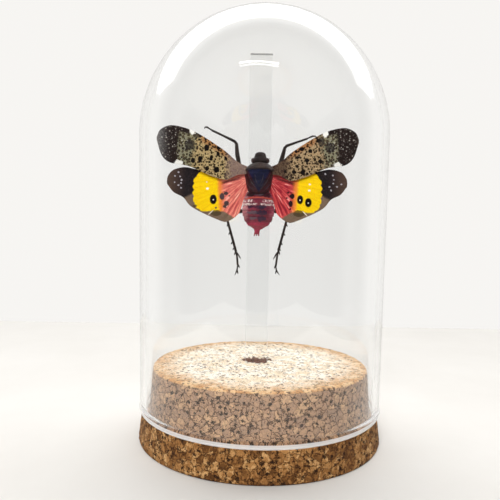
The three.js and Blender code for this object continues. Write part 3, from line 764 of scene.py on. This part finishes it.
def hindwing_relief(flat, chord):
    """Raised veins that fan out from the hinge, and pleats on the inner half."""
    ray = flat - WING_HINGE
    angle = math.atan2(ray.y, ray.x)
    reach = ray.length
    veins = sum(math.exp(-((angle - vein) * reach / VEIN_HALF) ** 2) for vein in HINDWING_VEINS)
    inner = min(1.0, max(0.0, (-angle - 0.45) * 2))
    edge = min(1.0, min(chord, 1 - chord) * 12)
    return (VEIN_HEIGHT * min(veins, 1.0) + PLEAT_HEIGHT * inner * math.sin(angle * 44)) * edge


def wing_point(tree, side, stretch):
    """A place on a wing as (outwards, up, 0) from the wing roots, in millimetres."""
    out, _, up = split(tree, insect_point(tree, side, stretch))
    return node(tree, "CombineXYZ", out, up).outputs[0]


def veins_of(tree, point, every):
    """Thin lines that fan out from the wing's hinge, and the angle that a place has in the fan."""
    ray = node(tree, "VectorMath", point, (*WING_HINGE, 0), operation="SUBTRACT").outputs[0]
    along, above, _ = split(tree, ray)
    angle = sums(tree, "ARCTAN2", above, along)
    wave = sums(tree, "SINE", sums(tree, "MULTIPLY", angle, math.pi / every))
    return rise(tree, sums(tree, "ABSOLUTE", wave), 0.2, 0.06), angle


# The left wing's root tones are painted paler than the right's: painted light, as that side was lit more.
HINDWING_SIDES = {
    "left": {
        "side": -1, "stretch": LEFT_STRETCH,
        "root": (tone(206, 92, 88), tone(244, 146, 126)), "spot_tone": tone(74, 58, 60),
        "eyes": [(13.0, -8.4, 1.0, 1.4)],
        "spots": [(10.5, -7.5, 0.72, 1.0), (9.4, -6.6, 0.6, 0.5), (9.2, -9.5, 0.75, 0.75),
                  (9.7, -10.4, 0.5, 0.45), (12.2, -10.8, 0.25, 0.22), (8.4, -7.3, 0.22, 0.22)],
        "flecks": [(24.1, -1.8), (24.2, -3.6), (23.1, -0.7), (22.6, -1.9), (22.2, -2.9), (22.3, -3.8),
                   (23.1, -4.5), (22.3, -5.2)],
        "olive": [(12.2, -12.3, 1.5, 0.9), (18.3, -10.4, 0.5, 0.4)],
        "glints": [(14.7, -5.3, 0.42, 0.34), (14.9, -3.4, 0.22, 0.18)],
        "clear_vein": (13.7, -12.2),
    },
    "right": {
        "side": 1, "stretch": RIGHT_STRETCH,
        "root": (tone(146, 30, 46), tone(226, 88, 86)), "spot_tone": tone(34, 20, 24),
        "eyes": [(12.4, -8.1, 0.9, 1.3), (14.9, -8.9, 1.0, 1.3)],
        "spots": [(10.0, -7.1, 0.75, 0.75), (9.6, -9.3, 0.65, 0.9), (9.6, -10.8, 0.3, 0.3),
                  (8.8, -6.1, 0.32, 0.3), (8.4, -7.7, 0.25, 0.3)],
        "flecks": [(19.8, -0.6), (22.1, -1.0), (22.4, -2.2), (22.2, -3.2), (21.1, -4.2), (23.4, -4.2),
                   (24.7, -3.4), (21.6, -5.3)],
        "olive": [(12.2, -12.1, 1.7, 1.0)],
        "glints": [(15.1, -5.4, 0.4, 0.3), (15.2, -3.6, 0.36, 0.24)],
        "clear_vein": (14.0, -12.1),
    },
}


def hindwing_look(name, side, stretch, root, spot_tone, eyes, spots, flecks, olive, glints, clear_vein):
    material, tree, shader = principled("hindwing_" + name)
    point = wing_point(tree, side, stretch)
    ragged = roughened(tree, point, 1.6, 0.6)
    out, up, _ = split(tree, ragged)
    grain = cloud(tree, point, 2.5, 4.0, 0.6)
    streak, angle = veins_of(tree, point, 0.1)
    fan_place = node(tree, "CombineXYZ", sums(tree, "MULTIPLY", angle, 9.0),
                     sums(tree, "MULTIPLY", out, 0.25))
    fan = cloud(tree, fan_place.outputs[0], 1.6, 4.0)
    red = mix(tree, rise(tree, fan, 0.38, 0.62), *root)
    red = stain(tree, streak, 0.75, red, tone(94, 28, 42))
    # Pale pink streaks in the red: painted highlights.
    red = stain(tree, rise(tree, fan, 0.58, 0.7), 0.65, red, tone(252, 210, 198))
    # A dark band along the red just under the forewing's rear edge: painted shade.
    fold_shade = sums(tree, "ABSOLUTE", sums(tree, "ADD", sums(tree, "MULTIPLY_ADD", out, 0.3, up), 0.5))
    fold_shade = sums(tree, "MULTIPLY", rise(tree, fold_shade, 0.5, 0.15), rise(tree, out, 4.5, 6.0))
    red = stain(tree, fold_shade, 0.8, red, tone(78, 32, 32))
    orange = mix(tree, grain, tone(232, 112, 48), tone(250, 160, 66))
    yellow = mix(tree, rise(tree, grain, 0.3, 0.7), tone(250, 194, 4), tone(255, 224, 12))
    yellow = stain(tree, streak, 0.3, yellow, tone(206, 128, 6))
    reach = sums(tree, "SUBTRACT", out, sums(tree, "MULTIPLY", up, 0.06))
    colour = mix(tree, rise(tree, reach, *ORANGE_REACH), red, orange)
    colour = mix(tree, rise(tree, reach, *YELLOW_REACH), colour, yellow)
    smoky = mix(tree, grain, tone(78, 60, 50), tone(150, 126, 104))
    short = sums(tree, "MAXIMUM", sums(tree, "SUBTRACT", 9.9, out), 0.0)
    rear = sums(tree, "MULTIPLY_ADD", short, 0.6, up)
    colour = mix(tree, rise(tree, rear, *SMOKY_BELOW), colour, smoky)
    bow = sums(tree, "POWER", sums(tree, "ABSOLUTE", sums(tree, "ADD", up, 6.2)), 4.0)
    lobes = sums(tree, "ABSOLUTE", sums(tree, "SINE", sums(tree, "MULTIPLY", up, math.pi / LOBE_WIDTH)))
    rim = sums(tree, "MULTIPLY_ADD", lobes, -LOBE_DEPTH, sums(tree, "MULTIPLY_ADD", bow, 0.0022, out))
    black = mix(tree, rise(tree, out, 20.5, 26.5), tone(24, 19, 24), tone(84, 64, 54))
    black = stain(tree, rise(tree, grain, 0.42, 0.7), 0.6, black, tone(66, 54, 52))
    lower_tip = mix(tree, rise(tree, sums(tree, "MULTIPLY_ADD", out, 0.5, up), 3.1, 2.1), black, smoky)
    colour = mix(tree, rise(tree, rim, *TIP_REACH), colour, lower_tip)
    colour = stain(tree, marks(tree, ragged, olive), 0.85, colour, tone(74, 60, 38))
    turned = node(tree, "VectorRotate", point, (*clear_vein, 0), (0, 0, 1), math.radians(43)).outputs[0]
    colour = mix(tree, marks(tree, turned, [(*clear_vein, 1.05, 0.11)]), colour, tone(236, 226, 206))
    fleck_marks = marks(tree, ragged, [(*fleck, 0.26, 0.24) for fleck in flecks])
    colour = stain(tree, fleck_marks, 0.8, colour, tone(188, 182, 190))
    colour = mix(tree, marks(tree, ragged, spots), colour, spot_tone)
    fine = roughened(tree, point, 2.0, 0.2)
    colour = mix(tree, marks(tree, fine, eyes), colour, tone(16, 8, 8))
    # A white dot in each eye spot and the glints on the yellow: painted highlights.
    shine = marks(tree, fine, [(x, z - 0.1, 0.17, 0.19) for x, z, _, _ in eyes] + glints)
    colour = mix(tree, shine, colour, tone(250, 244, 226))
    height = sums(tree, "ADD", sums(tree, "MULTIPLY", grain, 0.5), sums(tree, "MULTIPLY", streak, 0.7))
    feed(tree, shader, Base_Color=colour, Normal=bump(tree, height, 0.4, 0.08 * MM))
    feed(tree, shader, Roughness=node(tree, "MapRange", grain, 0.3, 0.7, 0.38, 0.6).outputs[0])
    shader.inputs["Specular IOR Level"].default_value = 0.12
    return material


def finish_wing(name, maker, material, slot, cad_node):
    wing = finish_insect_piece(name, maker, [material], slot, [cad_node], smoothing=0)
    thick = wing.modifiers.new("thickness", "SOLIDIFY")
    thick.thickness = WING_THICKNESS
    thick.offset = 0
    return wing


for name, facts in HINDWING_SIDES.items():
    sheet = wing_sheet(HINDWING_LEADING, HINDWING_TRAILING, HINDWING_Y, HINDWING_CAMBER,
                       facts["side"], facts["stretch"], hindwing_relief)
    finish_wing("hindwing_sheet_" + name, sheet, hindwing_look(name, **facts), "hindwing", "hindwing_" + name)

# The forewings: leathery covers over the hindwings, khaki with a fine dark net and black spots, and
# dark brown with pale flecks in the outer third. A white mark breaks the front and the rear edge.
FOREWING_LEADING = [(2.9, 0.9), (6.2, 2.4), (9.5, 5.2), (14, 8.2), (18, 10.5), (21.2, 11.75),
                    (25.2, 12.4), (28.2, 11.2), (29.35, 9.1)]
FOREWING_TRAILING = [(2.9, -1.0), (5.9, -1.3), (9.3, -2.7), (13.2, -1.9), (19.3, 0.7), (22.4, 1.4),
                     (25.7, 2.0), (27.9, 4), (29.35, 8.2)]
FOREWING_Y = -3.4
FOREWING_CAMBER = 0.55
ROOT_REACH = (10.3, 7.4)
GREY_REACH = (18.0, 20.6)
APEX_REACH = (23.2, 24.3)
FOREWING_VEINS = [0.08, 0.17, 0.3, 0.42, 0.52, 0.64, 0.78, 0.9]
FOREWING_SIDES = {
    "left": {
        "side": -1, "stretch": LEFT_STRETCH, "ground": (tone(146, 118, 72), tone(220, 198, 146)),
        "root": (tone(104, 78, 76), tone(156, 132, 124)),
        "spots": [(14.9, 6.2, 0.75, 0.9), (11.6, 6.3, 0.6, 0.6), (11.7, 4.5, 0.5, 0.65),
                  (16.8, 2.9, 0.6, 0.85), (18.8, 2.5, 0.6, 0.75), (13.6, 3.3, 0.4, 0.85),
                  (12.1, 0.0, 0.78, 0.85), (14.8, 0.3, 0.55, 0.7), (13.2, 7.7, 0.5, 0.45),
                  (9.5, 3.2, 0.4, 0.5), (15.2, 8.8, 0.45, 0.4), (17.4, 0.5, 0.45, 0.36),
                  (10.3, 1.5, 0.3, 0.35)],
        "whites": [(19.0, 10.9, 0.75, 1.0), (23.0, 1.75, 1.2, 0.8)],
        "blotches": [(19.7, 7.0, 1.4, 1.5), (17.6, 9.6, 1.2, 0.7)],
    },
    "right": {
        "side": 1, "stretch": RIGHT_STRETCH, "ground": (tone(140, 110, 76), tone(212, 186, 144)),
        "root": (tone(34, 22, 22), tone(88, 64, 54)),
        "spots": [(12.5, 6.2, 0.7, 0.6), (11.3, 3.8, 0.6, 0.4), (9.5, 2.5, 0.4, 0.36),
                  (10.3, -0.3, 0.6, 0.58), (13.0, -0.3, 0.73, 0.87), (14.2, -0.8, 0.44, 0.36),
                  (14.0, 3.0, 0.58, 0.65), (14.9, 5.7, 0.58, 0.65), (7.7, -0.2, 0.44, 0.44),
                  (11.2, 1.3, 0.29, 0.5), (17.2, 8.7, 0.6, 0.58), (8.3, -1.6, 0.3, 0.3),
                  (10.1, -1.9, 0.3, 0.3), (18.0, 2.8, 0.75, 0.58), (10.8, 5.5, 0.44, 0.3)],
        "whites": [(19.4, 10.6, 0.85, 0.95), (23.2, 1.75, 1.15, 0.85)],
        "blotches": [(20.8, 6.8, 1.5, 1.4), (18.1, 8.4, 1.0, 1.4)],
    },
}


def forewing_relief(flat, chord):
    """Low veins along the wing."""
    edge = min(1.0, min(chord, 1 - chord) * 12)
    veins = sum(math.exp(-((chord - vein) * 10.0 / 0.22) ** 2) for vein in FOREWING_VEINS)
    return 0.06 * min(veins, 1.0) * edge


def dots(tree, place, scale, least, spread, share):
    """Round dots of random size, one to a cell for a share of the cells."""
    cells = node(tree, "TexVoronoi", place, None, scale, voronoi_dimensions="2D")
    chance, size, _ = node(tree, "SeparateColor", cells.outputs["Color"]).outputs
    radius = sums(tree, "MULTIPLY_ADD", size, spread, least)
    dot = rise(tree, sums(tree, "SUBTRACT", cells.outputs["Distance"], radius), 0.05, -0.05)
    return sums(tree, "MULTIPLY", dot, sums(tree, "LESS_THAN", chance, share))


def forewing_look(name, side, stretch, ground, root, spots, whites, blotches):
    material, tree, shader = principled("forewing_" + name)
    point = wing_point(tree, side, stretch)
    ragged = roughened(tree, point, 1.6, 0.55)
    out, up, _ = split(tree, roughened(tree, point, 0.8, 2.0))
    span, chord, _ = split(tree, node(tree, "UVMap", uv_map="wing").outputs[0])
    grain = cloud(tree, point, 3.0, 4.0, 0.65)
    net = node(tree, "TexVoronoi", ragged, None, 2.1, feature="DISTANCE_TO_EDGE", voronoi_dimensions="2D")
    net_line = rise(tree, net.outputs["Distance"], 0.16, 0.05)
    colour = mix(tree, rise(tree, grain, 0.3, 0.7), *ground)
    colour = stain(tree, net_line, 0.4, colour, tone(92, 66, 38))
    front_edge = sums(tree, "MULTIPLY", rise(tree, chord, 0.26, 0.1), rise(tree, out, 17.5, 15.5))
    front_edge = sums(tree, "MULTIPLY", front_edge, rise(tree, out, 8.0, 9.5))
    colour = stain(tree, front_edge, 0.65, colour, tone(160, 92, 36))
    colour = stain(tree, dots(tree, ragged, 1.25, 0.2, 0.24, 0.95), 0.94, colour, tone(32, 20, 14))
    colour = stain(tree, dots(tree, ragged, 0.8, 0.12, 0.22, 0.7), 0.92, colour, tone(26, 16, 12))
    at_root = sums(tree, "MULTIPLY", rise(tree, out, *ROOT_REACH), 0.85)
    colour = mix(tree, at_root, colour, mix(tree, rise(tree, grain, 0.3, 0.7), *root))
    slope = sums(tree, "MULTIPLY_ADD", up, 0.12, out)
    mesh_dots = dots(tree, ragged, 1.3, 0.34, 0.2, 1.1)
    grey = mix(tree, mesh_dots, tone(140, 138, 112), tone(20, 19, 21))
    colour = stain(tree, rise(tree, slope, *GREY_REACH), 0.85, colour, grey)
    brown = mix(tree, rise(tree, grain, 0.35, 0.75), tone(14, 9, 10), tone(60, 44, 40))
    brown = stain(tree, rise(tree, span, 0.92, 1.0), 0.35, brown, tone(96, 80, 70))
    dark_front = sums(tree, "MULTIPLY", rise(tree, chord, 0.2, 0.1), rise(tree, out, 19.5, 20.3))
    apex = sums(tree, "MAXIMUM", rise(tree, slope, *APEX_REACH), dark_front)
    colour = mix(tree, apex, colour, brown)
    colour = stain(tree, marks(tree, ragged, blotches), 0.8, colour, tone(34, 29, 32))
    crumb = sums(tree, "MAXIMUM", dots(tree, roughened(tree, point, 3.0, 0.5), 1.1, 0.07, 0.15, 0.5),
                 sums(tree, "MULTIPLY", dots(tree, ragged, 2.0, 0.08, 0.18, 0.35), 0.5))
    crumb = sums(tree, "MULTIPLY", crumb, rise(tree, slope, 20.5, 22.5))
    colour = stain(tree, crumb, 0.65, colour, tone(206, 198, 186))
    colour = mix(tree, marks(tree, ragged, spots), colour, tone(14, 8, 8))
    colour = mix(tree, marks(tree, roughened(tree, point, 1.4, 1.7), whites), colour, tone(248, 246, 240))
    height = sums(tree, "ADD", sums(tree, "MULTIPLY", net_line, 0.6), grain)
    feed(tree, shader, Base_Color=colour, Normal=bump(tree, height, 0.45, 0.07 * MM))
    feed(tree, shader, Roughness=node(tree, "MapRange", grain, 0.3, 0.7, 0.45, 0.7).outputs[0])
    shader.inputs["Specular IOR Level"].default_value = 0.1
    return material


for name, facts in FOREWING_SIDES.items():
    sheet = wing_sheet(FOREWING_LEADING, FOREWING_TRAILING, FOREWING_Y, FOREWING_CAMBER,
                       facts["side"], facts["stretch"], forewing_relief)
    finish_wing("forewing_sheet_" + name, sheet, forewing_look(name, **facts), "forewing", "forewing_" + name)

# The glue: a clear dab, pressed flat where the insect's breast was set against the strip.
glue_low, glue_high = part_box("glue_dab")
glue = bmesh.new()
bmesh.ops.create_uvsphere(glue, u_segments=32, v_segments=16, radius=0.5)
bmesh.ops.scale(glue, vec=(glue_high - glue_low) * 1.02, verts=glue.verts)
bmesh.ops.translate(glue, vec=(glue_low + glue_high) / 2, verts=glue.verts)
for vert in glue.verts:
    swell = 1 + 0.12 * noise.noise(vert.co / (0.9 * MM))
    centre = (glue_low + glue_high) / 2
    vert.co.x = centre.x + (vert.co.x - centre.x) * swell
    vert.co.z = centre.z + (vert.co.z - centre.z) * swell
    vert.co.y = min(vert.co.y, glue_high.y)
glue_look = clear_look("glue_clear", (0.95, 0.94, 0.9, 1), 1.47, 0.03, 0.2, 0.05 * MM)
finish_piece("glue_bead", glue, [glue_look], "clear_glue", "glue_dab")

# The dome: clear blown glass, a straight cylinder closed by a half ball. Its cut rim was melted to a
# low bead with a dull white foot, and stands on the cork's ledge.
DOME_RADIUS = dome_high.x
GLASS_WALL = 1.8 * MM
DOME_CENTRE = dome_high.z - DOME_RADIUS
DOME_STEPS = 160
ARC_STEPS = 40
RIM_STEPS = 10
GROUND_HEIGHT = 0.85 * MM
BEAD_HEIGHT = 2.8 * MM
BEAD_SWELL = 0.22 * MM
WALL_ROWS = [0.2, 0.5, 0.8, 1.1, 1.4, 1.65, 1.85, 1.95, 2.3, 4, 8, 16, 24, 32, 40, 48, 56, 64, 70]
dome = bmesh.new()
rim_radius = GLASS_WALL / 2
walls = [dome_low.z + rim_radius + row * MM for row in WALL_ROWS]
inner = DOME_RADIUS - GLASS_WALL


def bead(height):
    """How far the melted rim swells beyond the wall at a height."""
    share = (height - dome_low.z) / BEAD_HEIGHT
    return BEAD_SWELL * math.sin(math.pi * share) ** 2 if share < 1 else 0.0


way = []
for k in range(ARC_STEPS + 1):
    angle = math.pi / 2 * (1 - k / ARC_STEPS)
    way.append((inner * math.cos(angle) if k else 0, DOME_CENTRE + inner * math.sin(angle)))
way += [(inner - bead(height), height) for height in reversed(walls)]
for k in range(RIM_STEPS + 1):
    angle = math.pi * (1 + k / RIM_STEPS)
    height = dome_low.z + rim_radius * (1 + math.sin(angle))
    swell = bead(height) * (1 if math.cos(angle) > 0 else -1)
    way.append((DOME_RADIUS - rim_radius + rim_radius * math.cos(angle) + swell, height))
way += [(DOME_RADIUS + bead(height), height) for height in walls]
for k in range(ARC_STEPS + 1):
    angle = math.pi / 2 * k / ARC_STEPS
    radius = DOME_RADIUS * math.cos(angle) if k < ARC_STEPS else 0
    way.append((radius, DOME_CENTRE + DOME_RADIUS * math.sin(angle)))
profile = [dome.verts.new((radius, 0, height)) for radius, height in way]
for start, end in zip(profile, profile[1:]):
    dome.edges.new((start, end))
bmesh.ops.spin(dome, geom=dome.verts[:] + dome.edges[:], axis=(0, 0, 1), cent=(0, 0, 0),
               angle=2 * math.pi, steps=DOME_STEPS, use_merge=True)
bmesh.ops.remove_doubles(dome, verts=dome.verts, dist=0.001 * MM)
bmesh.ops.recalc_face_normals(dome, faces=dome.faces)
for face in dome.faces:
    if face.calc_center_median().z < dome_low.z + GROUND_HEIGHT:
        face.material_index = 1
dome_look = clear_look("dome_glass", (0.985, 0.99, 0.99, 1), 1.47, 0.0, 0.02, 0.03 * MM)
rim_look = clear_look("rim_ground", (0.97, 0.98, 0.98, 1), 1.47, 0.35, 0.55, 0.03 * MM, 0.5)
finish_piece("glass_bell", dome, [dome_look, rim_look], "dome_glass", "glass_dome")

# The stage: a pale table top before a white wall all round, which lights the object from behind and is
# dimmer in the glass's mirror images of the front. A wide panel above and behind is the main light, and
# a soft front light shows the insect's back.
FLOOR_HALF = 0.2
floor = bmesh.new()
bmesh.ops.create_grid(floor, x_segments=1, y_segments=1, size=FLOOR_HALF)
floor_mesh = bpy.data.meshes.new("floor")
floor.to_mesh(floor_mesh)
floor.free()
floor_look, tree, shader = principled("pale_floor")
wash = cloud(tree, millimetres(tree), 0.02, 4.0, 0.6)
feed(tree, shader, Base_Color=mix(tree, wash, tone(214, 211, 206), tone(226, 224, 220)))
shader.inputs["Roughness"].default_value = 0.8
floor_mesh.materials.append(floor_look)
floor_object = bpy.data.objects.new("floor", floor_mesh)
bpy.context.scene.collection.objects.link(floor_object)


def lamp(name, place, aim, size, power, mirrored=True):
    """A soft rectangular lamp; a lamp that isn't mirrored leaves no image of itself in the glass."""
    data = bpy.data.lights.new(name, "AREA")
    data.shape = "RECTANGLE"
    data.size, data.size_y = size
    data.energy = power
    made = bpy.data.objects.new(name, data)
    bpy.context.scene.collection.objects.link(made)
    made.location = place
    made.rotation_euler = (Vector(aim) - Vector(place)).to_track_quat("-Z", "Y").to_euler()
    made.visible_glossy = made.visible_transmission = mirrored
    return made


lamp("sky_panel", (0.03, 0.32, 0.62), (0.02, 0, 0.06), (1.8, 0.3), 4.0)
lamp("sky_haze", (0.0, 0.3, 0.64), (0.0, 0, 0.06), (1.9, 0.42), 0.8)
lamp("front_light", (-0.14, -0.7, 0.58), (0, 0, 0.07), (0.5, 0.5), 7.2, mirrored=False)
lamp("front_strip", (-0.06, -0.42, 0.66), (0, 0, 0.1), (0.34, 0.02), 0.3)
world = bpy.data.worlds.new("studio")
bpy.context.scene.world = world
world.use_nodes = True
tree = world.node_tree
across, backward, up = split(tree, node(tree, "TexCoord").outputs["Generated"])
room = mix(tree, rise(tree, up, -0.5, 0.02), (0.6, 0.59, 0.57, 1), (0.045, 0.044, 0.043, 1))
wall = (0.93, 0.915, 0.89, 1)
path = node(tree, "LightPath").outputs
in_sight = sums(tree, "LESS_THAN", sums(tree, "ADD", path["Diffuse Depth"], path["Glossy Depth"]), 0.5)
surround = mix(tree, sums(tree, "MAXIMUM", in_sight, rise(tree, backward, 0.0, 0.4)), room, wall)
tree.links.new(surround, tree.nodes["Background"].inputs["Color"])
bpy.context.scene.view_settings.view_transform = "Standard"

# The camera: where the photograph was taken from, in the object's own frame, tipped down and leaning
# a little. The picture's middle lies above the lens's axis.
PICTURE = 500
FOCAL_PIXELS = 502.2
AXIS_BELOW_MIDDLE = 37.8
CAMERA_PLACE = Vector((-3.37, -151.8, 58.25)) * MM
TIP = math.radians(5.16)
LEAN = math.radians(0.96)
camera_data = bpy.data.cameras.new("camera")
camera_data.sensor_width = 36
camera_data.lens = FOCAL_PIXELS / PICTURE * camera_data.sensor_width
camera_data.shift_y = AXIS_BELOW_MIDDLE / PICTURE
camera_data.clip_start = 0.005
ahead = Vector((0, math.cos(TIP), -math.sin(TIP)))
level = Vector((1, 0, 0))
above = Vector((0, math.sin(TIP), math.cos(TIP)))
right = level * math.cos(LEAN) + above * math.sin(LEAN)
top_way = above * math.cos(LEAN) - level * math.sin(LEAN)
camera = bpy.data.objects.new("camera", camera_data)
bpy.context.scene.collection.objects.link(camera)
facing = Matrix((right, top_way, -ahead)).transposed().to_4x4()
camera.matrix_world = Matrix.Translation(CAMERA_PLACE) @ facing
bpy.context.scene.camera = camera
